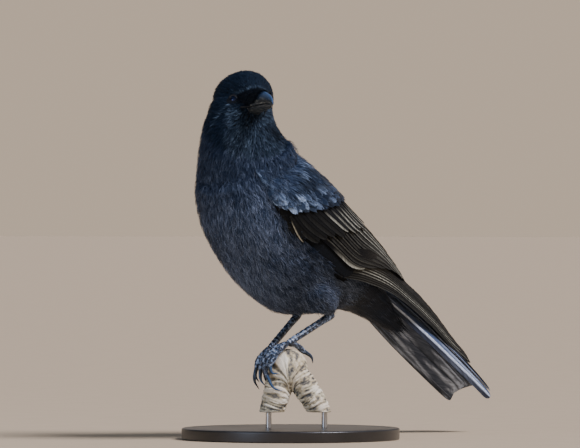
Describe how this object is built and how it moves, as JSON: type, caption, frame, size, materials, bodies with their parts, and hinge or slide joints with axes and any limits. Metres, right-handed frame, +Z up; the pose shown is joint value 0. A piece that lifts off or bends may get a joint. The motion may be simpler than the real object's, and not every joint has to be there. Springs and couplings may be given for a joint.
{
  "type": "perched crow model",
  "caption": "Life-size perched black crow with its head turned and bill shut, gripping a short bent length of bark-covered branch on rods over a flat round base.",
  "frame": {"origin": "centre of the stand base's flat underside", "axes": "+Z up; the crow's body faces -Y, its left side is +X and its tail points to +Y"},
  "size_m": [0.19, 0.3538, 0.3206],
  "materials": {
    "plumage": "glossy black feathers with a blue sheen",
    "horn": "grey-black polished horn",
    "eye": "dark brown glass eye, wet gloss",
    "scutes": "blue-black scaled skin with pale scale edges",
    "bark": "cream and tan bark with dark grey ridges",
    "board": "black satin lacquer on turned wood",
    "rod": "drawn steel rod"
  },
  "bodies": {
    "root": {"bill_lower": "horn", "bill_upper": "horn", "claw_left_hind": "horn", "claw_left_inner": "horn", "claw_left_middle": "horn", "claw_left_outer": "horn", "claw_right_hind": "horn", "claw_right_inner": "horn", "claw_right_middle": "horn", "claw_right_outer": "horn", "eye_left": "eye", "eye_right": "eye", "head": "plumage", "neck": "plumage", "perch_hook": "bark", "perch_knob": "bark", "perch_stem": "bark", "primaries_left": "plumage", "primaries_right": "plumage", "stand_base": "board", "stand_rod_1": "rod", "stand_rod_2": "rod", "tail": "plumage", "tarsus_left": "scutes", "tarsus_right": "scutes", "thigh_left": "plumage", "thigh_right": "plumage", "toe_left_hind": "scutes", "toe_left_inner": "scutes", "toe_left_middle": "scutes", "toe_left_outer": "scutes", "toe_right_hind": "scutes", "toe_right_inner": "scutes", "toe_right_middle": "scutes", "toe_right_outer": "scutes", "trunk": "plumage", "wing_left": "plumage", "wing_right": "plumage"}
  },
  "joints": []
}
